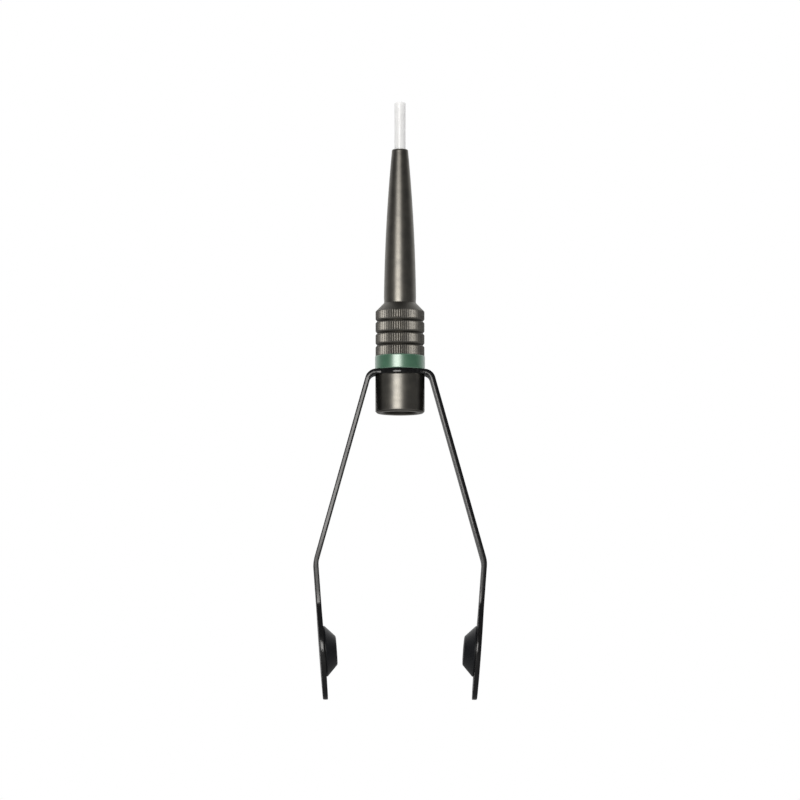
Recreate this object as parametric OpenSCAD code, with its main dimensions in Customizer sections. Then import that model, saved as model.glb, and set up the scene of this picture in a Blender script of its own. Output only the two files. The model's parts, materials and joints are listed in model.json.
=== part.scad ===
// Bobbin holder for fly tying. Millimetres, +Z along the thread tube, arms along X.
// The origin lies midway between the arm tips, at the height of their lowest point.

/* [Thread tube] */
// Outside diameter of the ceramic tube
tube_d = 2.05; // [1.8:0.05:2.2]
// Bore of the ceramic tube
tube_bore_d = 0.95; // [0.7:0.05:1.2]
// Length of tube that stands out of the nose
tube_reach = 8.8; // [5:0.1:15]
// Length of tube that is fixed inside the nose
tube_seat_l = 14; // [8:0.5:16]

/* [Barrel] */
// Diameter of the nose at its tip
nose_d = 2.95; // [2.6:0.05:3.2]
// Diameter of the taper where it meets the grip
taper_d = 5.95; // [5.4:0.05:6.2]
// Length of the taper from the grip's shoulder to the nose
taper_l = 28.55; // [24:0.05:34]
// Diameter of the grip over its knurl
grip_d = 9; // [8.6:0.05:9.4]
// Length of the grip below its shoulder
grip_l = 8.25; // [8:0.25:12]
// Height of the grip's sloped shoulder
shoulder_h = 1.6; // [1:0.1:2.4]
// Diameter of the bore that leads the thread to the tube
channel_d = 3.6; // [3.2:0.1:3.8]
// Diameter of the threaded spigot below the grip
spigot_d = 7.2; // [7:0.05:7.4]

/* [Knurl and grooves] */
// Number of straight knurl ridges round the grip
knurl_count = 66; // [48:1:80]
// Depth of the knurl
knurl_depth = 0.13; // [0.08:0.01:0.18]
// Number of V grooves round the grip
groove_count = 3; // [1:1:3]
// Distance from one V groove to the next
groove_pitch = 2.22; // [1.8:0.02:2.4]
// Distance from the grip's lower end to its first groove
first_groove = 2; // [1.4:0.1:2.2]
// Width of a V groove
groove_w = 0.72; // [0.4:0.02:0.9]
// Depth of a V groove
groove_depth = 0.32; // [0.2:0.02:0.4]

/* [Colour ring] */
// Outside diameter of the ring
ring_d = 9.2; // [8.9:0.05:9.6]
// Height of the ring
ring_h = 2.55; // [1.8:0.05:3.2]

/* [Clamp sleeve] */
// Outside diameter of the sleeve
sleeve_d = 9.08; // [8.6:0.02:9.2]
// Height of the sleeve
sleeve_h = 7.1; // [6.5:0.1:10]
// Bore of the sleeve's mouth
mouth_d = 6.3; // [5.8:0.1:6.6]
// Length of spigot that the sleeve takes
thread_l = 4.2; // [3.5:0.1:4.8]

/* [Spring frame] */
// Thickness of the strip
strip_t = 0.9; // [0.7:0.05:1.1]
// Width of the strip
strip_w = 5.4; // [4:0.1:6.2]
// Diameter of the frame's round hub
hub_d = 8.8; // [8.6:0.05:9.2]
// Distance between the corners where the strip turns down
corner_span = 11.3; // [10.8:0.1:12]
// Distance between the knees
knee_span = 31; // [28:0.5:36]
// Distance between the arm tips
tip_span = 27.3; // [25:0.1:30]
// Height from the knees to the hub
upper_leg_h = 35.1; // [30:0.1:42]
// Height from the tips to the knees
lower_leg_h = 25.25; // [23:0.05:30]
// Radius of the top bends at the middle of the strip
corner_r = 1.65; // [1.2:0.05:1.9]
// Radius of the knees at the middle of the strip
knee_r = 5; // [3:0.5:8]
// Depth below the hub of the line where each arm flexes
flex_drop = 10.5; // [9:0.5:14]

/* [Paddles and feet] */
// Length of a paddle
paddle_l = 17.8; // [16:0.2:20]
// Width of a paddle
paddle_w = 10.2; // [9.8:0.1:11]
// Radius of a paddle's ends
paddle_end_r = 3.2; // [2.8:0.1:3.6]
// Diameter of a foot where it meets its paddle
foot_d = 9.3; // [8.6:0.1:9.6]
// Diameter of a foot's front
foot_front_d = 5.2; // [4.8:0.1:5.8]
// Height of a foot
foot_h = 2.2; // [2:0.05:2.8]
// Diameter of a rivet's shank
rivet_d = 2; // [1.6:0.1:2.4]
// Diameter of a rivet's head
rivet_head_d = 3.5; // [3.2:0.1:3.8]

/* [Hidden] */
$fn = 96;

// Clearances and overruns
fit_gap = 0.03; // between turned pieces that slide over the spigot
thread_gap = 0.02; // between the spigot and the sleeve, at the plain cylinders that stand for the thread
flex_gap = 0.04; // round the knuckle where an arm flexes
spin_gap = 0.04; // round a rivet and on both faces of a foot
overrun = 1; // how far a cut passes its piece

// Edge breaks of the turned pieces
edge = 0.15;
sleeve_edge = 0.33;
sleeve_top_edge = 0.25;
tube_edge_r = 0.3;
nose_edge_r = 0.25;
foot_rim_h = 0.25;
foot_edge_r = 0.2;
arc_steps = 6;
bend_steps = 12;

// Barrel details
taper_steps = 24;
taper_curve_share = 0.81; // share of the taper's narrowing that follows a parabola
taper_relief_w = 0.35; // narrow turned relief where the taper meets the shoulder
taper_relief_depth = 0.04;
crest_share = 0.2; // share of a knurl ridge's pitch that is its flat crest
channel_end_gap = 1.5; // solid height left between the channel's cone and the tube's seat
channel_cone_h = 1.2;
seat_stop_d = 1.5; // opening of the stop that the tube's end rests on
funnel_d = 5.8;
funnel_h = 1.6;

// Foot details
head_recess_depth = 0.9;
head_recess_gap = 0.15;
rivet_head_h = 0.55;
head_edge = 0.12;
neck_fillet_r = 7;

// Directions of the strip, each leaning from the vertical
corner_x = corner_span / 2;
knee_x = knee_span / 2;
tip_x = tip_span / 2;
lower_lean = atan((knee_x - tip_x) / lower_leg_h);
upper_lean = atan((knee_x - corner_x) / upper_leg_h);
corner_turn = 90 - upper_lean;
knee_turn = upper_lean + lower_lean;

// Heights along the axis
tip_z = strip_t / 2 * sin(lower_lean);
knee_z = tip_z + lower_leg_h;
hub_mid_z = knee_z + upper_leg_h;
hub_z = hub_mid_z - strip_t / 2;
hub_top_z = hub_z + strip_t;
mouth_z = hub_z - sleeve_h;
ring_z = hub_top_z;
grip_z = ring_z + ring_h;
shoulder_z = grip_z + grip_l;
taper_z = shoulder_z + shoulder_h;
nose_z = taper_z + taper_l;
tube_z = nose_z - tube_seat_l;
tube_top_z = nose_z + tube_reach;
spigot_z = hub_z - thread_l;
channel_top_z = tube_z - channel_end_gap - channel_cone_h;

// Lengths along the strip
corner_setback = corner_r * tan(corner_turn / 2);
knee_setback = knee_r * tan(knee_turn / 2);
lower_leg_l = lower_leg_h / cos(lower_lean);
flex_l = (upper_leg_h - flex_drop) / cos(upper_lean);

// Points of an arc about [x, z] from angle a0 to angle a1
function arc(x, z, r, a0, a1, steps = arc_steps) =
    [for (i = [0:steps]) [x + r * cos(a0 + (a1 - a0) * i / steps), z + r * sin(a0 + (a1 - a0) * i / steps)]];

// A whole outline from the points of its right half
function both_halves(half) = concat(half, [for (i = [len(half) - 1:-1:0]) [-half[i][0], half[i][1]]]);

// Share of the taper's narrowing reached at share t of its length
function taper_share(t) = taper_curve_share * t * t + (1 - taper_curve_share) * t;

// Radius of the taper at share t of its length
function taper_r(t) = taper_d / 2 - (taper_d - nose_d) / 2 * taper_share(t);

// A turned bush with broken outer edges, standing on z = 0
module turned_bush(d, bore_d, h, low_edge, top_edge) {
    rotate_extrude()
        polygon([
            [bore_d / 2, 0], [d / 2 - low_edge, 0], [d / 2, low_edge],
            [d / 2, h - top_edge], [d / 2 - top_edge, h], [bore_d / 2, h]
        ]);
}

// Ceramic tube
module ceramic_tube() {
    r = tube_d / 2;
    bore_r = tube_bore_d / 2;
    lip_r = (r - bore_r) / 2;
    color("white")
        rotate_extrude()
            polygon(concat(
                [[bore_r, tube_z + lip_r]],
                arc(bore_r + lip_r, tube_z + lip_r, lip_r, 180, 360),
                arc(r - tube_edge_r, tube_top_z - tube_edge_r, tube_edge_r, 0, 90),
                [[bore_r + edge, tube_top_z], [bore_r, tube_top_z - edge]]
            ));
}

// Outline of the grip: bands parted by V grooves, and the sloped shoulder on top
module grip_outline() {
    r = grip_d / 2;
    grooves = [for (i = [0:groove_count - 1]) grip_z + first_groove + i * groove_pitch];
    polygon(concat(
        [[0, grip_z], [r - edge, grip_z], [r, grip_z + edge]],
        [for (z = grooves) each [[r, z - groove_w / 2], [r - groove_depth, z], [r, z + groove_w / 2]]],
        [[r, shoulder_z], [taper_d / 2, taper_z], [0, taper_z]]
    ));
}

// Cross-section of the straight knurl, one flat-topped ridge per pitch
module knurl_section() {
    r = grip_d / 2;
    pitch = 360 / knurl_count;
    polygon([for (i = [0:knurl_count - 1]) each [
        [r * cos((i - crest_share / 2) * pitch), r * sin((i - crest_share / 2) * pitch)],
        [r * cos((i + crest_share / 2) * pitch), r * sin((i + crest_share / 2) * pitch)],
        [(r - knurl_depth) * cos((i + 1 / 2) * pitch), (r - knurl_depth) * sin((i + 1 / 2) * pitch)]
    ]]);
}

// Tapered nose with a turned relief at its foot and a rounded tip
module taper_outline() {
    relief_r = taper_d / 2 - taper_relief_depth;
    polygon(concat(
        [[0, taper_z - overrun], [relief_r, taper_z - overrun], [relief_r, taper_z + taper_relief_w / 2]],
        [for (i = [1:taper_steps - 1])
            [taper_r(i / taper_steps), taper_z + taper_l * i / taper_steps]],
        arc(nose_d / 2 - nose_edge_r, nose_z - nose_edge_r, nose_edge_r, 0, 90),
        [[0, nose_z]]
    ));
}

// Thread channel, with a funnel at the spigot's end and a cone up to the stop under the tube
module channel_outline() {
    polygon([
        [0, spigot_z - overrun], [funnel_d / 2, spigot_z - overrun], [funnel_d / 2, spigot_z],
        [channel_d / 2, spigot_z + funnel_h], [channel_d / 2, channel_top_z],
        [seat_stop_d / 2, channel_top_z + channel_cone_h], [seat_stop_d / 2, tube_z],
        [tube_d / 2, tube_z], [tube_d / 2, nose_z + overrun], [0, nose_z + overrun]
    ]);
}

// Barrel
module barrel() {
    color("dimgray")
        difference() {
            union() {
                translate([0, 0, spigot_z])
                    cylinder(d1 = spigot_d - 2 * edge, d2 = spigot_d, h = edge);
                translate([0, 0, spigot_z + edge])
                    cylinder(d = spigot_d, h = grip_z - spigot_z);
                intersection() {
                    rotate_extrude() grip_outline();
                    translate([0, 0, grip_z - overrun])
                        linear_extrude(taper_z - grip_z + 2 * overrun) knurl_section();
                }
                rotate_extrude() taper_outline();
            }
            rotate_extrude() channel_outline();
        }
}

// Colour ring
module colour_ring() {
    color("seagreen")
        translate([0, 0, ring_z])
            turned_bush(ring_d, spigot_d + 2 * fit_gap, ring_h, edge, edge);
}

// Clamp sleeve, with the plain bore that stands for its thread above the mouth
module clamp_sleeve() {
    color("dimgray")
        translate([0, 0, mouth_z])
            difference() {
                turned_bush(sleeve_d, mouth_d, sleeve_h, sleeve_edge, sleeve_top_edge);
                translate([0, 0, sleeve_h - thread_l - edge])
                    cylinder(d = spigot_d + 2 * thread_gap, h = thread_l + edge + overrun);
                translate([0, 0, -edge])
                    cylinder(d1 = mouth_d + 4 * edge, d2 = mouth_d, h = 2 * edge);
            }
}

// Extrudes an outline drawn in the XZ plane to the strip's width
module across_strip() {
    rotate([90, 0, 0])
        linear_extrude(strip_w, center = true)
            children();
}

// Moves its children from the strip's own frame at the right tip, where +Z runs up the lower leg
module along_lower_leg() {
    translate([tip_x, 0, tip_z])
        rotate([0, lower_lean, 0])
            children();
}

// Right half of the hub's strip: top bend, and the leg's stub down to its hollow end at the flex line
function hub_half() =
    let (
        bend_x = corner_x - corner_setback,
        bend_z = hub_mid_z - corner_r,
        hollow_r = strip_t / 2 + flex_gap,
        hollow_a = acos(strip_t / 2 / hollow_r),
        flex_x = knee_x - flex_l * sin(upper_lean),
        flex_z = knee_z + flex_l * cos(upper_lean)
    )
    concat(
        arc(bend_x, bend_z, corner_r + strip_t / 2, 90, upper_lean, bend_steps),
        arc(flex_x, flex_z, hollow_r, upper_lean + hollow_a, upper_lean + 180 - hollow_a, bend_steps),
        arc(bend_x, bend_z, corner_r - strip_t / 2, upper_lean, 90, bend_steps)
    );

// Spring hub
module spring_hub() {
    color("black")
        difference() {
            union() {
                translate([0, 0, hub_z]) cylinder(d = hub_d, h = strip_t);
                across_strip() polygon(both_halves(hub_half()));
            }
            translate([0, 0, hub_z - overrun])
                cylinder(d = spigot_d + 2 * fit_gap, h = strip_t + 2 * overrun);
        }
}

// Right half of a paddle's outline from its tip up: the arcs of its end and its side, then a fillet
function paddle_half() =
    let (
        half_l = paddle_l / 2,
        half_w = paddle_w / 2,
        end_y = half_l - paddle_end_r,
        side_r = (pow(half_w, 2) + pow(end_y, 2) - pow(paddle_end_r, 2)) / (2 * (half_w - paddle_end_r)),
        side_a = atan(end_y / (side_r - half_w)),
        fillet_x = strip_w / 2 + neck_fillet_r,
        side_gap = fillet_x + side_r - half_w,
        fillet_y = sqrt(pow(side_r + neck_fillet_r, 2) - pow(side_gap, 2)),
        fillet_a = atan(fillet_y / side_gap)
    )
    concat(
        arc(0, half_l - end_y, paddle_end_r, -90, -side_a, bend_steps),
        arc(half_w - side_r, half_l, side_r, -side_a, fillet_a, bend_steps),
        arc(fillet_x, half_l + fillet_y, neck_fillet_r, fillet_a + 180, 180),
        [[strip_w / 2, paddle_l + strip_w / 2]]
    );

// Strip of the right arm in the lower leg's frame: lower leg, knee, upper leg and its round knuckle
function arm_strip() =
    let (
        half_t = strip_t / 2,
        start_z = paddle_l,
        bend_z = lower_leg_l - knee_setback,
        flex_x = -flex_l * sin(knee_turn),
        flex_z = lower_leg_l + flex_l * cos(knee_turn)
    )
    concat(
        [[half_t, start_z]],
        arc(-knee_r, bend_z, knee_r + half_t, 0, knee_turn),
        arc(flex_x, flex_z, half_t, knee_turn, knee_turn + 180, bend_steps),
        arc(-knee_r, bend_z, knee_r - half_t, knee_turn, 0),
        [[-half_t, start_z]]
    );

// Right arm
module arm() {
    along_lower_leg()
        difference() {
            union() {
                across_strip() polygon(arm_strip());
                translate([-strip_t / 2, 0, 0])
                    rotate([90, 0, 90])
                        linear_extrude(strip_t) polygon(both_halves(paddle_half()));
            }
            across_paddle() cylinder(d = rivet_d, h = strip_t + 2 * overrun, center = true);
        }
}

// Moves its children to the paddle's middle, where +Z points inwards along the foot's axis
module across_paddle() {
    translate([0, 0, paddle_l / 2])
        rotate([0, -90, 0])
            children();
}

// Right foot: a cone with a low rim, bored for the rivet and recessed for its head
module foot() {
    front_r = foot_front_d / 2;
    along_lower_leg()
        across_paddle()
            translate([0, 0, strip_t / 2 + spin_gap])
                difference() {
                    rotate_extrude()
                        polygon(concat(
                            [[rivet_d / 2 + spin_gap, 0], [foot_d / 2, 0], [foot_d / 2, foot_rim_h]],
                            arc(front_r - foot_edge_r, foot_h - foot_edge_r, foot_edge_r, 30, 90),
                            [[rivet_d / 2 + spin_gap, foot_h]]
                        ));
                    translate([0, 0, foot_h - head_recess_depth])
                        cylinder(d = rivet_head_d + 2 * head_recess_gap, h = head_recess_depth + overrun);
                }
}

// Right rivet: shank through paddle and foot, flush outside, with its head in the foot's recess
module rivet() {
    r = rivet_d / 2;
    head_r = rivet_head_d / 2;
    head_z = strip_t / 2 + foot_h - head_recess_depth + 2 * spin_gap;
    along_lower_leg()
        across_paddle()
            rotate_extrude()
                polygon([
                    [0, -strip_t / 2], [r, -strip_t / 2], [r, head_z], [head_r, head_z],
                    [head_r, head_z + rivet_head_h - head_edge], [head_r - head_edge, head_z + rivet_head_h],
                    [0, head_z + rivet_head_h]
                ]);
}

module left_arm() { color("black") mirror([1, 0, 0]) arm(); }
module right_arm() { color("black") arm(); }
module left_foot() { color([0.1, 0.1, 0.11]) mirror([1, 0, 0]) foot(); }
module right_foot() { color([0.1, 0.1, 0.11]) foot(); }
module left_rivet() { color("gray") mirror([1, 0, 0]) rivet(); }
module right_rivet() { color("gray") rivet(); }

ceramic_tube();
barrel();
colour_ring();
spring_hub();
left_arm();
right_arm();
clamp_sleeve();
left_foot();
right_foot();
left_rivet();
right_rivet();
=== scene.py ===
# Bobbin holder for fly tying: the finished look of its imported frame.
# The frame is in metres. New pieces are drawn in millimetres and scaled once they are done.
import json
import math
from itertools import accumulate

import bmesh
import bpy
from mathutils import Matrix, Vector


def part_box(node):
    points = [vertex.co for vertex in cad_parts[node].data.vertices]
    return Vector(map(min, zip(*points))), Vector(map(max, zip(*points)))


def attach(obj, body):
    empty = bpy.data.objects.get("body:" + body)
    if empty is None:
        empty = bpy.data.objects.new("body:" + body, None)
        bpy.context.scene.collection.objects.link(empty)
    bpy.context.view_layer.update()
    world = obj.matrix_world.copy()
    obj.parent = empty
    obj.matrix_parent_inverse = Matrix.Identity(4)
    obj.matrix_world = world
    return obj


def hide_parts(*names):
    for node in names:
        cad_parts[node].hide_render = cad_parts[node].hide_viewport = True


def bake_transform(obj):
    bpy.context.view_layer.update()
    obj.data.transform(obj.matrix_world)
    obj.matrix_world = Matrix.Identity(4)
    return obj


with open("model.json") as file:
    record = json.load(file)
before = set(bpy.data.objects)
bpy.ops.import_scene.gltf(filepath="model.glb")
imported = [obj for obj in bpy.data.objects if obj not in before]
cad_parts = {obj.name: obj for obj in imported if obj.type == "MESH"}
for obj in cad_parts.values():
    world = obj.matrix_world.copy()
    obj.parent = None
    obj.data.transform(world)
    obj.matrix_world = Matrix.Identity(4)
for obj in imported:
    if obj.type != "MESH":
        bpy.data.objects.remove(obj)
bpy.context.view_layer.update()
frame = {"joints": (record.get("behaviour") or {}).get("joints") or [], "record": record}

MM = 0.001
PER_MM = 1 / MM
QUARTER = math.pi / 2
TOUCH = 0.004  # mm, within which a point lies on a turned edge
WELD = 1e-5  # mm, within which two points of a piece are one
MIRROR_WELD = 1e-4  # the same on the line that the strip's blank is mirrored about
CREASE = math.radians(24)  # edges that turn by more stay sharp in the shading
MIX_SHARE, MIX_LOW, MIX_HIGH, MIX_RESULT = 0, 6, 7, 2  # sockets of a Mix node for colours


def corners(node):
    """Lowest and highest corner of a CAD node, in millimetres."""
    return [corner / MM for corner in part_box(node)]


# Places and sizes that the frame gives, in millimetres
tube_low, tube_high = corners("ceramic_tube")
barrel_low, barrel_high = corners("barrel")
ring_low, ring_high = corners("colour_ring")
sleeve_low, sleeve_high = corners("clamp_sleeve")
bore_r = {m["name"]: m["dims"]["r_mm"] for m in frame["record"]["mounts"] if m["kind"] == "bore"}
joints = {joint["name"]: joint for joint in frame["joints"]}
foot_centre = Vector(joints["right_foot_spin"]["pos_m"]) / MM
foot_axis = Vector(joints["right_foot_spin"]["axis"])
flex_centre = Vector(joints["right_arm_flex"]["pos_m"]) / MM

# Ceramic tube. Columns are the facets round a turned piece, and an edge is its rounding.
tube_columns = 96
tube_tip_edge = 0.3
tube_bore_edge = 0.15
tube_seat_share = 0.45  # of the wall that is rounded off at the tube's lower end

# Barrel
grip_z = ring_high.z
grip_r = barrel_high.x
grip_l = 8.25
shoulder_h = 1.6
shoulder_z = grip_z + grip_l
taper_z = shoulder_z + shoulder_h
nose_z = barrel_high.z
nose_r = 1.475
nose_edge = 0.25
taper_r = 2.975
taper_steps = 28
taper_curve_share = 0.81  # of the narrowing that grows with the square of the height
relief_w = 0.35
relief_depth = 0.04
spigot_z = barrel_low.z
spigot_r = 3.6
spigot_edge = 0.15
funnel_r = 2.9
funnel_h = 1.6
channel_cone_h = 1.2
channel_end_gap = 1.5
seat_stop_r = 0.75
knurl_count = 66
knurl_depth = 0.13
valley_r = grip_r - knurl_depth
knurl_crest_share = 0.2
# Where a ridge's columns stand, in pitches: the two edges of its crest, then the valley
ridge_columns = [-knurl_crest_share / 2, knurl_crest_share / 2, 0.5]
first_groove = 2  # its height above the grip's lower end
groove_pitch = 2.22
groove_count = 3
groove_w = 0.72
groove_depth = 0.32
band_edge = 0.09

# Sleeve and ring
ring_columns = 128
ring_edge = 0.15
thread_l = 4.2
thread_r = 3.62
mouth_chamfer = 0.15
sleeve_chamfer = 0.33
sleeve_chamfer_edge = 0.07
sleeve_top_edge = 0.25

# Spring strip
strip_t = 0.9
strip_w = 5.4
strip_crown = 0.15  # how far the strip's edges are rolled over towards its outer face
strip_burr = 0.04  # the smaller rounding towards its inner face
strip_apex = -0.15  # where the edge stands out furthest, from the middle of the thickness
rim_levels = 5  # cuts that shape the edge on each side of the apex
hub_r = 4.4
hub_hole_r = 3.63
hub_fillet_r = 0.6
corner_x = 5.65
knee_x = 15.5
tip_x = 13.65
upper_leg_h = 35.1
lower_leg_h = 25.25
corner_bend_r = 1.65
knee_bend_r = 5
flex_reach = 8.2  # length of strip on each side of the flex line that bends
corner_cuts, flex_cuts, knee_cuts = 18, 22, 10
paddle_l = 17.8
paddle_w = 10.2
paddle_end_r = 3.2
neck_fillet_r = 7
hub_steps, hub_fillet_steps, neck_steps, paddle_side_steps, paddle_end_steps = 24, 6, 8, 28, 14
rivet_hole_steps = 32

# Feet and rivets
foot_columns = 96
foot_r = 4.65
foot_front_r = 2.6
foot_h = 2.2
foot_rim_h = 0.25
foot_front_edge = 0.2
foot_rim_edge = 0.06
spin_gap = 0.04
head_recess_r = 1.9
head_recess_depth = 0.9
head_recess_edge = 0.08
rivet_columns = 64
rivet_r = 1
rivet_head_r = 1.75
rivet_head_h = 0.55
rivet_head_edge = 0.16
rivet_head_under_edge = 0.05
rivet_dome_h = 0.05
rivet_dome_share = 0.88  # of the closed end's radius that is flat
punch_r, punch_depth = 0.42, 0.16  # dimple that the rivet punch leaves
punch_floor_share = 0.6  # of the dimple's radius where its side ends
punch_side_share = 0.85  # of the dimple's depth reached there
punch_edge = 0.06


class Signal:
    """A shader socket. Arithmetic on it adds the Math nodes."""

    def __init__(self, nodes, socket):
        self.nodes = nodes
        self.socket = socket

    def math(self, operation, *values):
        return self.nodes.add("Math", {"operation": operation}, dict(enumerate(values)))

    def __add__(self, other):
        return self.math("ADD", self, other)

    def __sub__(self, other):
        return self.math("SUBTRACT", self, other)

    def __rsub__(self, other):
        return self.math("SUBTRACT", other, self)

    def __mul__(self, other):
        return self.math("MULTIPLY", self, other)

    def __pow__(self, other):
        return self.math("POWER", self, other)

    __radd__ = __add__
    __rmul__ = __mul__

    def step(self, low, high):
        """0 below low and 1 above high, easing between them."""
        return self.nodes.add(
            "MapRange", {"interpolation_type": "SMOOTHSTEP"},
            {"Value": self, "From Min": low, "From Max": high})


class Nodes:
    """A node tree being built."""

    def __init__(self, tree):
        self.tree = tree

    def feed(self, socket, value):
        """Links a signal to a socket, or sets the socket to a plain value."""
        if isinstance(value, Signal):
            self.tree.links.new(value.socket, socket)
        else:
            socket.default_value = value

    def add(self, kind, settings, inputs, output=0):
        """Adds a node: its settings first, then the values or links of its sockets."""
        made = self.tree.nodes.new("ShaderNode" + kind)
        for name, value in settings.items():
            setattr(made, name, value)
        for socket, value in inputs.items():
            self.feed(made.inputs[socket], value)
        return Signal(self, made.outputs[output])

    def blend(self, share, low, high):
        """One colour turning into another as share goes from 0 to 1."""
        inputs = {MIX_SHARE: share, MIX_LOW: low, MIX_HIGH: high}
        return self.add("Mix", {"data_type": "RGBA"}, inputs, MIX_RESULT)

    def noise(self, place, per_mm, detail):
        """Uneven spots, about so many to the millimetre."""
        return self.add(
            "TexNoise", {}, {"Vector": place, "Scale": per_mm * PER_MM, "Detail": detail})

    def lines(self, along, per_mm, detail):
        """Uneven lines square to one direction."""
        return self.add(
            "TexNoise", {"noise_dimensions": "1D"},
            {"W": along, "Scale": per_mm * PER_MM, "Detail": detail})


class Finish(Nodes):
    """A material round one Principled shader. Its fixed values sit on the shader's own sockets."""

    def __init__(self, name, fixed):
        self.material = bpy.data.materials.new(name)
        self.material.use_nodes = True
        super().__init__(self.material.node_tree)
        self.shader = next(n for n in self.tree.nodes if n.type == "BSDF_PRINCIPLED")
        for socket, value in fixed.items():
            self.shader.inputs[socket].default_value = value

    def place(self):
        """Where a point of the surface lies in the frame, in metres."""
        return self.add("TexCoord", {}, {}, "Object")

    def split(self, place):
        """The three parts of a place or direction."""
        return [self.add("SeparateXYZ", {}, {0: place}, axis) for axis in "XYZ"]

    def give(self, values, relief=None, depth=0.0, strength=0.0):
        """Feeds what changes over the surface, and fine relief of a depth in millimetres."""
        for socket, value in values.items():
            self.feed(self.shader.inputs[socket], value)
        if relief is not None:
            bump = {"Height": relief, "Strength": strength, "Distance": depth * MM}
            self.feed(self.shader.inputs["Normal"], self.add("Bump", {}, bump, "Normal"))
        return self.material


def turned_gunmetal():
    """Dark anodised aluminium: turning marks, a clouded tone, worn edges and a knurl darker in its
    valleys.
    """
    dark, bronze = (0.215, 0.206, 0.188, 1), (0.255, 0.243, 0.217, 1)
    bare, valley_dark = (0.42, 0.40, 0.37, 1), (0.03, 0.027, 0.022, 1)
    metal = Finish("turned_gunmetal", {"Metallic": 1.0})
    place = metal.place()
    x, y, z = metal.split(place)
    radius = (x * x + y * y) ** 0.5 * PER_MM
    height = z * PER_MM
    marks = metal.lines(z, 9, 3)
    passes = metal.lines(z, 0.9, 2)
    cloud = metal.noise(place, 0.5, 3)
    speckle = metal.noise(place, 7, 2)
    on_grip = height.step(grip_z - 0.1, grip_z) * (1 - height.step(shoulder_z, shoulder_z + 0.1))
    crest = radius.step(grip_r - 0.05, grip_r - 0.005) * on_grip
    valley = (1 - radius.step(valley_r - 0.25, valley_r + 0.03)) * on_grip
    from_shoulder = height - shoulder_z
    shoulder_rim = 1 - (from_shoulder * from_shoulder).step(0.0, 0.03)
    mouth_rim = 1 - (height - sleeve_low.z).step(0.0, 0.3)
    wear = (crest * 0.55 + (shoulder_rim + mouth_rim) * 0.4) * speckle.step(0.38, 0.62)
    tone = metal.blend(cloud.step(0.35, 0.65), dark, bronze)
    worn = metal.blend(wear, tone, bare)
    # Darker in the knurl's valleys: the colour there is blended three quarters of the way to near
    # black
    valley_darkened = metal.blend(valley * 0.75, worn, valley_dark)
    rough = 0.29 + cloud * 0.06 + passes * 0.07 + speckle * 0.05 + valley * 0.1 + on_grip * 0.04
    return metal.give(
        {"Base Color": valley_darkened, "Roughness": rough},
        relief=marks * 0.8 + speckle * 0.4, depth=0.004, strength=0.5)


def green_anodise():
    """Bright dyed aluminium with fine turning lines, and a painted highlight along its top and
    bottom edges.
    """
    deep, clear = (0.03, 0.172, 0.083, 1), (0.048, 0.206, 0.104, 1)
    painted_edge_highlight = (0.45, 0.62, 0.53, 1)
    green = Finish("green_anodise", {"Metallic": 0.3, "Coat Roughness": 0.33, "Coat IOR": 2.5})
    place = green.place()
    z = green.split(place)[2]
    marks = green.lines(z, 12, 2)
    cloud = green.noise(place, 0.5, 2)
    half_h = (ring_high.z - ring_low.z) / 2
    from_middle = z * PER_MM - (ring_low.z + ring_high.z) / 2
    # Painted highlight: near the ring's top and bottom edges the green is blended toward a pale
    # grey-green
    rim = (from_middle * from_middle).step((half_h - 0.16) ** 2, (half_h - 0.02) ** 2)
    tone = green.blend(cloud.step(0.35, 0.65), deep, clear)
    edge_highlit_tone = green.blend(rim * 0.4, tone, painted_edge_highlight)
    return green.give(
        {"Base Color": edge_highlit_tone, "Roughness": 0.34 + marks * 0.1, "Coat Weight": 0.85 + cloud * 0.15},
        relief=marks, depth=0.002, strength=0.4)


def black_strip():
    """Black coated strip: faint grain along it, and glossier edges that dull near the knee."""
    black, softer_black = (0.0045, 0.0045, 0.005, 1), (0.009, 0.009, 0.0095, 1)
    rubbed = (0.05, 0.05, 0.05, 1)
    coat = Finish("black_strip", {"Specular IOR Level": 0.42})
    # A place on the flat blank is in millimetres, not metres, which MM makes up for
    on_blank = coat.add("Attribute", {"attribute_name": "blank"}, {}, "Vector")
    on_edge = coat.add("Attribute", {"attribute_name": "rounded"}, {}, "Fac")
    stretched = coat.add("Mapping", {}, {"Vector": on_blank, "Scale": (0.08, 1, 1)})
    grain = coat.noise(stretched, 7 * MM, 3)
    peel = coat.noise(on_blank, 2.4 * MM, 2)
    patches = coat.noise(on_blank, 0.14 * MM, 2)
    from_hub = coat.split(on_blank)[0]
    # Lengths along the strip: from above the knee to the paddle's neck, and past the corner
    by_knee = from_hub.step(33, 43) - from_hub.step(46.5, 49)
    dulled = by_knee * 0.8 + from_hub.step(8, 14) * patches.step(0.46, 0.68) * 0.25
    tone = coat.blend(grain.step(0.3, 0.7), black, softer_black)
    worn = coat.blend(on_edge * peel.step(0.55, 0.8) * 0.1, tone, rubbed)
    rough = 0.46 + peel * 0.1 - on_edge.step(0, 0.35) * (0.36 - dulled * 0.2)
    return coat.give(
        {"Base Color": worn, "Roughness": rough},
        relief=grain * 0.25 + peel, depth=0.02, strength=0.4)


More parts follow.
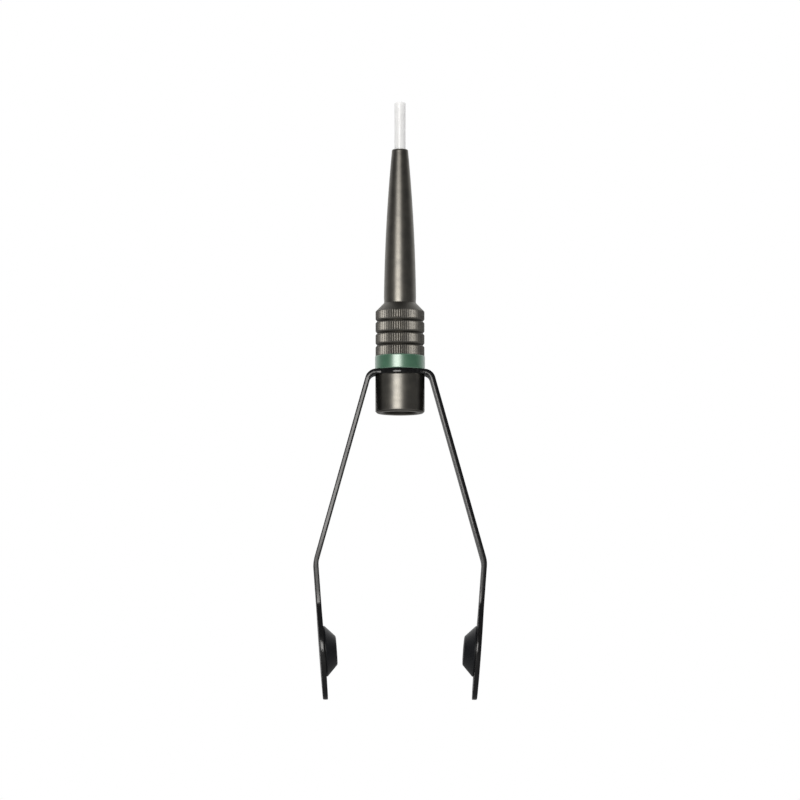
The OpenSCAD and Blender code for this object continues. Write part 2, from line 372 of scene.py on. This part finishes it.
def turned_acetal(name, side):
    """Black acetal with the rings of its turning, centred on the foot's own axis."""
    black, softer_black = (0.004, 0.0045, 0.006, 1), (0.009, 0.0095, 0.012, 1)
    acetal = Finish(name, {"Specular IOR Level": 0.35})
    place = acetal.place()
    centre = (side * foot_centre.x * MM, 0, foot_centre.z * MM)
    tilt = math.atan2(foot_axis.z, -foot_axis.x)
    centred = acetal.add("VectorMath", {"operation": "SUBTRACT"}, {0: place, 1: centre})
    level = acetal.add("Mapping", {}, {"Vector": centred, "Rotation": (0, -side * tilt, 0)})
    y, z = acetal.split(level)[1:]
    rings = acetal.lines((y * y + z * z) ** 0.5, 11, 2)
    speck = acetal.noise(place, 6, 2)
    tone = acetal.blend(speck.step(0.3, 0.7), black, softer_black)
    return acetal.give(
        {"Base Color": tone, "Roughness": 0.34 + rings * 0.12},
        relief=rings + speck * 0.3, depth=0.004, strength=0.5)


def oxide_steel():
    """Dark oxide steel of the rivets, lightly rubbed."""
    dark, rubbed = (0.13, 0.13, 0.133, 1), (0.2, 0.197, 0.193, 1)
    steel = Finish("oxide_steel", {"Metallic": 1.0})
    speck = steel.noise(steel.place(), 8, 3)
    tone = steel.blend(speck.step(0.35, 0.7), dark, rubbed)
    return steel.give(
        {"Base Color": tone, "Roughness": 0.32 + speck * 0.08},
        relief=speck, depth=0.003, strength=0.2)


def fired_ceramic():
    """White fired ceramic, smooth, with a faint grain."""
    off_white, white = (0.865, 0.865, 0.858, 1), (0.91, 0.91, 0.905, 1)
    ceramic = Finish("fired_ceramic", {
        "Specular IOR Level": 0.5, "Coat Weight": 0.2, "Coat Roughness": 0.08,
        "Subsurface Weight": 0.5, "Subsurface Scale": 0.0015, "Subsurface Radius": (1, 1, 1)})
    place = ceramic.place()
    grain = ceramic.noise(place, 4, 3)
    cloud = ceramic.noise(place, 0.4, 2)
    tone = ceramic.blend(cloud.step(0.3, 0.7), off_white, white)
    return ceramic.give(
        {"Base Color": tone, "Roughness": 0.3 + grain * 0.1},
        relief=grain, depth=0.003, strength=0.3)


def turn(outline, columns, bored=True):
    """Spins an outline of [radius, height] points round Z. A bored piece's outline is a loop."""
    mesh = bmesh.new()
    mesh.faces.layers.int.new("soft")
    points = [mesh.verts.new((r, 0, z)) for r, z in outline]
    ends = list(zip(points, points[1:]))
    if bored:
        ends.append((points[-1], points[0]))
    runs = [mesh.edges.new(pair) for pair in ends]
    bmesh.ops.spin(
        mesh, geom=points + runs, cent=(0, 0, 0), axis=(0, 0, 1), angle=math.tau, steps=columns,
        use_merge=True)
    bmesh.ops.remove_doubles(mesh, verts=mesh.verts, dist=WELD)
    bmesh.ops.recalc_face_normals(mesh, faces=mesh.faces)
    return mesh


def soften_circles(mesh, circles, width, segments):
    """Rounds the turned edges through [radius, height] points, and marks the new faces as soft."""
    def on_circle(vert, radius, height):
        from_axis = math.hypot(vert.co.x, vert.co.y)
        return abs(from_axis - radius) < TOUCH and abs(vert.co.z - height) < TOUCH

    edges = [
        e for e in mesh.edges
        if any(on_circle(e.verts[0], r, z) and on_circle(e.verts[1], r, z) for r, z in circles)]
    made = bmesh.ops.bevel(
        mesh, geom=edges, offset=width, offset_type="OFFSET", segments=segments, profile=0.5,
        affect="EDGES", material=-1, clamp_overlap=True)
    soft = mesh.faces.layers.int["soft"]
    for face in made["faces"]:
        face[soft] = 1


def shade(mesh):
    """Shades smooth, apart from sharp edges and the borders between flats and soft faces."""
    soft = mesh.faces.layers.int["soft"]
    mesh.normal_update()
    for face in mesh.faces:
        face.smooth = True
    for e in mesh.edges:
        meets_flat = len({face[soft] for face in e.link_faces}) > 1
        e.smooth = e.calc_face_angle(0) < CREASE and not meets_flat


def in_scene(name, mesh, material):
    """Makes an object of a mesh drawn in millimetres."""
    bmesh.ops.scale(mesh, vec=(MM, MM, MM), verts=mesh.verts)
    data = bpy.data.meshes.new(name)
    mesh.to_mesh(data)
    mesh.free()
    data.materials.append(material)
    made = bpy.data.objects.new(name, data)
    bpy.context.scene.collection.objects.link(made)
    return made


def piece(name, mesh, material, slot, *nodes):
    """Makes a mesh a piece of the bobbin holder, in place of its CAD nodes."""
    made = in_scene(name, mesh, material)
    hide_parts(*nodes)
    return made


def ceramic_tube(material):
    """Thread tube, rounded at its tip and where it sits in the nose."""
    r, bore = tube_high.x, bore_r["tube_bore"]
    low, high = tube_low.z, tube_high.z
    mesh = turn([[bore, low], [r, low], [r, high], [bore, high]], tube_columns)
    soften_circles(mesh, [[r, high]], tube_tip_edge, segments=6)
    soften_circles(mesh, [[bore, high]], tube_bore_edge, segments=4)
    soften_circles(mesh, [[bore, low], [r, low]], (r - bore) * tube_seat_share, segments=4)
    shade(mesh)
    return piece("fired_tube", mesh, material, "ceramic", "ceramic_tube")


def taper_width(t):
    """Radius of the taper at share t of its length from the shoulder."""
    narrowing = taper_curve_share * t * t + (1 - taper_curve_share) * t
    return taper_r - (taper_r - nose_r) * narrowing


def knurl(mesh):
    """Gives each knurl ridge its columns, and cuts the grip back to the valleys between them."""
    pitch = math.tau / knurl_count
    per_ridge = len(ridge_columns)
    for vert in mesh.verts:
        radius, height = math.hypot(vert.co.x, vert.co.y), vert.co.z
        nearest = round(math.atan2(vert.co.y, vert.co.x) / pitch * per_ridge)
        ridge, column = divmod(nearest, per_ridge)
        angle = (ridge + ridge_columns[column]) * pitch
        in_valley = column == per_ridge - 1 and grip_z - TOUCH < height < taper_z
        if in_valley:
            radius = min(radius, valley_r)
        vert.co = (radius * math.cos(angle), radius * math.sin(angle), height)


def barrel(material):
    """Barrel: tapered nose, knurled and grooved grip, and the bored spigot under it."""
    tube_r, seat_z = tube_high.x, tube_low.z
    channel_r = bore_r["thread_channel"]
    stop_z = seat_z - channel_end_gap
    channel_top = stop_z - channel_cone_h
    taper_l = nose_z - taper_z
    relief_r = taper_r - relief_depth
    bands = []
    for i in range(groove_count):
        z = grip_z + first_groove + i * groove_pitch
        bands += [
            [grip_r, z - groove_w / 2], [grip_r - groove_depth, z], [grip_r, z + groove_w / 2]]
    taper = [
        [taper_width(i / taper_steps), taper_z + taper_l * i / taper_steps]
        for i in range(1, taper_steps)]
    mesh = turn([
        [funnel_r, spigot_z], [spigot_r - spigot_edge, spigot_z],
        [spigot_r, spigot_z + spigot_edge], [spigot_r, grip_z],
        [grip_r, grip_z], *bands, [grip_r, shoulder_z],
        [relief_r, taper_z], [relief_r, taper_z + relief_w / 2], *taper,
        [nose_r, nose_z], [tube_r, nose_z], [tube_r, seat_z],
        [seat_stop_r, seat_z], [seat_stop_r, stop_z],
        [channel_r, channel_top], [channel_r, spigot_z + funnel_h]],
        knurl_count * len(ridge_columns))
    soften_circles(mesh, [[nose_r, nose_z]], nose_edge, segments=5)
    band_rims = [[r, z] for r, z in bands if r == grip_r]
    soften_circles(
        mesh, [*band_rims, [grip_r, grip_z], [grip_r, shoulder_z]], band_edge, segments=3)
    knurl(mesh)
    shade(mesh)
    return piece("turned_barrel", mesh, material, "gunmetal", "barrel")


def colour_ring(material):
    """Bare anodised ring."""
    low, high = ring_low.z, ring_high.z
    rims = [[ring_high.x, low], [ring_high.x, high]]
    mesh = turn([[hub_hole_r, low], *rims, [hub_hole_r, high]], ring_columns)
    soften_circles(mesh, rims, ring_edge, segments=4)
    shade(mesh)
    return piece("anodised_ring", mesh, material, "green_anodised", "colour_ring")


def clamp_sleeve(material):
    """Sleeve with a chamfered mouth, bored for the spigot above it."""
    r, mouth_r = sleeve_high.x, bore_r["sleeve_mouth"]
    low, high = sleeve_low.z, sleeve_high.z
    step_z = high - thread_l - mouth_chamfer
    chamfer = [[r - sleeve_chamfer, low], [r, low + sleeve_chamfer]]
    mesh = turn([
        [mouth_r + mouth_chamfer, low], *chamfer, [r, high], [thread_r, high],
        [thread_r, step_z], [mouth_r, step_z], [mouth_r, low + mouth_chamfer]], ring_columns)
    soften_circles(mesh, [[r, high]], sleeve_top_edge, segments=5)
    soften_circles(mesh, chamfer, sleeve_chamfer_edge, segments=3)
    shade(mesh)
    return piece("turned_sleeve", mesh, material, "gunmetal", "clamp_sleeve")


def set_in_paddle(mesh, side):
    """Moves a piece drawn upright round Z to its paddle, with Z pointing inwards along its axis."""
    inwards = Vector((side * foot_axis.x, 0, foot_axis.z))
    turned = inwards.to_track_quat("Z", "Y").to_matrix().to_4x4()
    centre = Matrix.Translation((side * foot_centre.x, 0, foot_centre.z))
    bmesh.ops.transform(mesh, matrix=centre @ turned, verts=mesh.verts)


def cone_foot(side_name, side, material):
    """Cone that enters the spool, with a recess for the rivet's head."""
    base = strip_t / 2 + spin_gap
    bore = rivet_r + spin_gap
    front = base + foot_h
    recess_z = front - head_recess_depth
    rim = [[foot_r, base], [foot_r, base + foot_rim_h]]
    mesh = turn([
        [bore, base], *rim, [foot_front_r, front],
        [head_recess_r, front], [head_recess_r, recess_z], [bore, recess_z]], foot_columns)
    soften_circles(mesh, [[foot_front_r, front]], foot_front_edge, segments=4)
    soften_circles(mesh, rim, foot_rim_edge, segments=3)
    soften_circles(mesh, [[head_recess_r, front]], head_recess_edge, segments=3)
    shade(mesh)
    set_in_paddle(mesh, side)
    return piece(f"cone_foot_{side_name}", mesh, material, "foot_plastic", f"{side_name}_foot")


def rivet(side_name, side, material):
    """Rivet: a punched closed end a hair above the paddle, and a head in the foot's recess."""
    outside = -strip_t / 2
    closed = outside - rivet_dome_h
    head_z = strip_t / 2 + foot_h - head_recess_depth + 2 * spin_gap
    top = head_z + rivet_head_h
    mesh = turn([
        [0, outside + punch_depth],
        [punch_r * punch_floor_share, outside + punch_depth * punch_side_share],
        [punch_r, closed], [rivet_r * rivet_dome_share, closed], [rivet_r, outside],
        [rivet_r, head_z], [rivet_head_r, head_z], [rivet_head_r, top], [0, top]],
        rivet_columns, bored=False)
    soften_circles(mesh, [[rivet_head_r, top]], rivet_head_edge, segments=4)
    soften_circles(mesh, [[punch_r, closed]], punch_edge, segments=3)
    soften_circles(mesh, [[rivet_head_r, head_z]], rivet_head_under_edge, segments=2)
    shade(mesh)
    set_in_paddle(mesh, side)
    return piece(f"pivot_rivet_{side_name}", mesh, material, "rivet_steel", f"{side_name}_rivet")


upper_lean = math.atan2(knee_x - corner_x, upper_leg_h)
lower_lean = math.atan2(knee_x - tip_x, lower_leg_h)
corner_turn = QUARTER - upper_lean
knee_turn = upper_lean + lower_lean
corner_setback = corner_bend_r * math.tan(corner_turn / 2)
knee_setback = knee_bend_r * math.tan(knee_turn / 2)
hub_middle_z = ring_low.z - strip_t / 2

# The strip's middle line from the hub's centre to the right tip, as (length, turn).
# Straight runs, which turn by 0, and bends follow one another.
strip_runs = [
    (corner_x - corner_setback, 0),
    (corner_bend_r * corner_turn, corner_turn),
    (math.hypot(knee_x - corner_x, upper_leg_h) - corner_setback - knee_setback, 0),
    (knee_bend_r * knee_turn, knee_turn),
    (math.hypot(knee_x - tip_x, lower_leg_h) - knee_setback, 0),
]
corner_start, corner_end, knee_start, knee_end, strip_l = accumulate(run[0] for run in strip_runs)
flex_at = corner_end + (Vector((corner_x, 0, hub_middle_z)) - flex_centre).length - corner_setback
paddle_middle = strip_l - paddle_l / 2


def bent_place(along, across, through):
    """Where a point of the flat blank lies once the strip is bent."""
    x, z, heading = 0.0, hub_middle_z, 0.0
    for length, bend in strip_runs:
        part = min(along, length)
        if bend:
            r = length / bend
            turned = part / r
            x += r * (math.sin(heading + turned) - math.sin(heading))
            z += r * (math.cos(heading + turned) - math.cos(heading))
            heading += turned
        else:
            x += part * math.cos(heading)
            z -= part * math.sin(heading)
        along -= part
        if along <= 0:
            break
    return Vector((x + through * math.sin(heading), across, z + through * math.cos(heading)))


def draw_line(mesh, start, point):
    """Draws a line on the flat blank and returns its end."""
    end = mesh.verts.new((*point, 0))
    mesh.edges.new((start, end))
    return end


def draw_arc(mesh, start, centre, sweep, steps):
    """Draws an arc about a centre, anticlockwise for a positive sweep, and returns its end."""
    swept = bmesh.ops.spin(
        mesh, geom=[start], cent=(*centre, 0), axis=(0, 0, 1), angle=sweep, steps=steps)
    return next(v for v in swept["geom_last"] if isinstance(v, bmesh.types.BMVert))


def blank_outline(mesh):
    """Draws half of the stamped blank, from the hub's hole to the tip, and mirrors it across."""
    half_w, half_paddle_w = strip_w / 2, paddle_w / 2
    # Fillet between the hub and the strip
    fillet_y = half_w + hub_fillet_r
    fillet_x = math.sqrt((hub_r + hub_fillet_r) ** 2 - fillet_y ** 2)
    fillet_a = math.atan2(fillet_y, fillet_x)
    # The paddle's side, an arc that runs on into the smaller arc of its end
    end_reach = paddle_l / 2 - paddle_end_r
    side_square = half_paddle_w ** 2 + end_reach ** 2 - paddle_end_r ** 2
    side_r = side_square / (paddle_w - 2 * paddle_end_r)
    side_rise = side_r - half_paddle_w
    side_a = math.atan2(side_rise, -end_reach)
    # Fillet between the strip and the paddle's side
    neck_y = half_w + neck_fillet_r
    neck_rise = neck_y + side_rise
    neck_reach = math.sqrt((side_r + neck_fillet_r) ** 2 - neck_rise ** 2)
    neck_x = paddle_middle - neck_reach
    neck_a = math.atan2(neck_rise, -neck_reach)

    at = mesh.verts.new((hub_hole_r, 0, 0))
    at = draw_arc(mesh, at, (0, 0), QUARTER, hub_steps)
    at = draw_line(mesh, at, (0, hub_r))
    at = draw_arc(mesh, at, (0, 0), fillet_a - QUARTER, hub_steps)
    at = draw_arc(mesh, at, (fillet_x, fillet_y), QUARTER - fillet_a, hub_fillet_steps)
    at = draw_line(mesh, at, (neck_x, half_w))
    at = draw_arc(mesh, at, (neck_x, neck_y), neck_a - QUARTER, neck_steps)
    sweep = math.pi - side_a - neck_a
    at = draw_arc(mesh, at, (paddle_middle, -side_rise), sweep, paddle_side_steps)
    draw_arc(mesh, at, (paddle_middle + end_reach, 0), side_a - math.pi, paddle_end_steps)
    whole = mesh.verts[:] + mesh.edges[:]
    bmesh.ops.mirror(mesh, geom=whole, merge_dist=MIRROR_WELD, axis="Y")
    bmesh.ops.create_circle(
        mesh, segments=rivet_hole_steps, radius=rivet_r,
        matrix=Matrix.Translation((paddle_middle, 0, 0)))


def cut(mesh, place, across):
    """Cuts the blank along a plane and keeps both sides."""
    bmesh.ops.bisect_plane(
        mesh, geom=mesh.verts[:] + mesh.edges[:] + mesh.faces[:], dist=WELD,
        plane_co=place, plane_no=across)


def cut_lengths(mesh, start, end, count):
    """Cuts the blank across its length, so that it can bend between two places."""
    for i in range(count + 1):
        cut(mesh, (start + (end - start) * i / count, 0, 0), (1, 0, 0))


def crown_rim(mesh):
    """Rolls the blank's outer rim over, mostly towards its outer face. Its holes stay square."""
    spans = {1: strip_t / 2 - strip_apex, -1: strip_t / 2 + strip_apex}
    for way, span in spans.items():
        for level in range(rim_levels):
            rise = span * math.sin(QUARTER * level / rim_levels)
            cut(mesh, (0, 0, strip_apex + way * rise), (0, 0, 1))
    mesh.normal_update()

    def on_rim(face):
        centre = face.calc_center_median()
        from_hub_hole = math.hypot(centre.x, centre.y) - hub_hole_r
        from_rivet_hole = math.hypot(centre.x - paddle_middle, centre.y) - rivet_r
        on_edge = abs(face.normal.z) < 0.5 and centre.x > TOUCH
        return on_edge and min(from_hub_hole, from_rivet_hole) > TOUCH

    for vert in mesh.verts:
        out = sum((face.normal for face in vert.link_faces if on_rim(face)), Vector()).normalized()
        if abs(vert.co.x) < TOUCH:
            out.x = 0
        way, depth = (1, strip_crown) if vert.co.z > strip_apex else (-1, strip_burr)
        share = (vert.co.z - strip_apex) / spans[way]
        vert.co -= out * depth * (1 - math.sqrt(max(0, 1 - share ** 2)))


def spring_strip(side_name, side, material):
    """Half of the spring frame, stamped flat, its edges rolled, then bent: hub, leg and paddle."""
    mesh = bmesh.new()
    soft = mesh.faces.layers.int.new("soft")
    blank = mesh.verts.layers.float_vector.new("blank")
    rounded = mesh.verts.layers.float.new("rounded")
    blank_outline(mesh)
    bmesh.ops.triangle_fill(mesh, edges=mesh.edges, use_beauty=True, normal=(0, 0, 1))
    raised = bmesh.ops.extrude_face_region(mesh, geom=mesh.faces)
    top = [v for v in raised["geom"] if isinstance(v, bmesh.types.BMVert)]
    bmesh.ops.translate(mesh, vec=(0, 0, strip_t), verts=top)
    bmesh.ops.translate(mesh, vec=(0, 0, -strip_t / 2), verts=mesh.verts)
    bmesh.ops.recalc_face_normals(mesh, faces=mesh.faces)
    crown_rim(mesh)
    mesh.normal_update()
    cut_lengths(mesh, corner_start, corner_end, corner_cuts)
    cut_lengths(mesh, flex_at - flex_reach, flex_at + flex_reach, flex_cuts)
    cut_lengths(mesh, knee_start, knee_end, knee_cuts)
    for face in mesh.faces:
        is_flat = abs(face.normal.z) >= 0.99
        is_hub_cut = abs(face.normal.x) >= 0.999
        face[soft] = not is_flat and not is_hub_cut
    for vert in mesh.verts:
        vert[blank] = vert.co
        vert[rounded] = 1 - (vert.co.z / strip_t * 2) ** 2
        bent = bent_place(*vert.co)
        vert.co = (side * bent.x, bent.y, bent.z)
    bmesh.ops.recalc_face_normals(mesh, faces=mesh.faces)
    shade(mesh)
    made = piece(
        f"spring_strip_{side_name}", mesh, material, "black_steel",
        f"{side_name}_arm", "spring_hub")
    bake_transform(made)
    return made


def pale_floor():
    """Floor far below the bobbin holder: near white to the camera, mid grey in reflections."""
    floor_z, floor_r, floor_columns = -112, 2600, 96
    mirrored_grey, seen_white = (0.3, 0.3, 0.3, 1), (0.86, 0.86, 0.86, 1)
    no_glow, seen_glow = (0, 0, 0, 1), (1, 1, 1, 1)
    mesh = bmesh.new()
    bmesh.ops.create_circle(
        mesh, cap_ends=True, segments=floor_columns, radius=floor_r,
        matrix=Matrix.Translation((0, 0, floor_z)))
    paper = Finish("pale_floor", {
        "Roughness": 0.9, "Specular IOR Level": 0.1, "Emission Strength": 0.3})
    seen = paper.add("LightPath", {}, {}, "Is Camera Ray")
    paper.give({
        "Base Color": paper.blend(seen, mirrored_grey, seen_white),
        "Emission Color": paper.blend(seen, no_glow, seen_glow)})
    in_scene("floor", mesh, paper.material)


def surroundings():
    """White to the camera, pale in diffuse light, and in mirrored light dark only in front."""
    lit, dark_front, pale_back = 0.92, 0.09, 0.9
    white = (1, 1, 1, 1)
    world = bpy.data.worlds.new("studio")
    bpy.context.scene.world = world
    world.use_nodes = True
    air = Nodes(world.node_tree)
    background = next(n for n in air.tree.nodes if n.type == "BACKGROUND")
    away = air.add("SeparateXYZ", {}, {0: air.add("TexCoord", {}, {}, "Generated")}, "Y")
    mirrored = dark_front + away.step(-0.15, 0.95) * (pale_back - dark_front)
    seen = air.add("LightPath", {}, {}, "Is Camera Ray")
    diffuse = air.add("LightPath", {}, {}, "Is Diffuse Ray")
    unseen = diffuse * lit + (1 - diffuse) * mirrored
    air.feed(background.inputs["Color"], white)
    air.feed(background.inputs["Strength"], seen + (1 - seen) * unseen)


def set_up(kit, turned, raised, distance):
    """Stands a lamp or the camera in the studio, facing the bobbin holder's middle.

    It is turned round from the front and raised by degrees, at a distance in millimetres.
    """
    a, e = math.radians(turned), math.radians(raised)
    back = Vector((math.sin(a) * math.cos(e), -math.cos(a) * math.cos(e), math.sin(e)))
    made = bpy.data.objects.new(kit.name, kit)
    bpy.context.scene.collection.objects.link(made)
    made.location = (Vector((0, 0, tube_high.z / 2)) + back * distance) * MM
    made.rotation_euler = (-back).to_track_quat("-Z", "Y").to_euler()
    return made


def key_light():
    """Soft box to the left of the camera."""
    width, height, radiance = 540, 210, 9.0
    light = bpy.data.lights.new("key_softbox", "AREA")
    light.shape = "RECTANGLE"
    light.size, light.size_y = width * MM, height * MM
    light.energy = radiance * math.pi * light.size * light.size_y
    light.color = (1.0, 0.98, 0.95)
    set_up(light, turned=-15.5, raised=6, distance=900)


def photo_camera():
    """The photograph's nearly parallel view, from a little below and to the left."""
    distance, view_width = 1500, 147.2
    camera = bpy.data.cameras.new("camera")
    camera.lens = camera.sensor_width * distance / view_width
    camera.clip_start, camera.clip_end = 0.01, 20
    bpy.context.scene.camera = set_up(camera, turned=-1.5, raised=-6, distance=distance)
    bpy.context.scene.view_settings.view_transform = "Standard"


gunmetal = turned_gunmetal()
strip_black = black_strip()
steel = oxide_steel()
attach(ceramic_tube(fired_ceramic()), "head")
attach(barrel(gunmetal), "head")
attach(colour_ring(green_anodise()), "head")
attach(clamp_sleeve(gunmetal), "head")
for side_name, side in (("left", -1), ("right", 1)):
    acetal = turned_acetal(f"turned_acetal_{side_name}", side)
    spring_strip(side_name, side, strip_black)
    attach(cone_foot(side_name, side, acetal), f"foot_{side_name}")
    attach(rivet(side_name, side, steel), f"arm_{side_name}")
pale_floor()
surroundings()
key_light()
photo_camera()
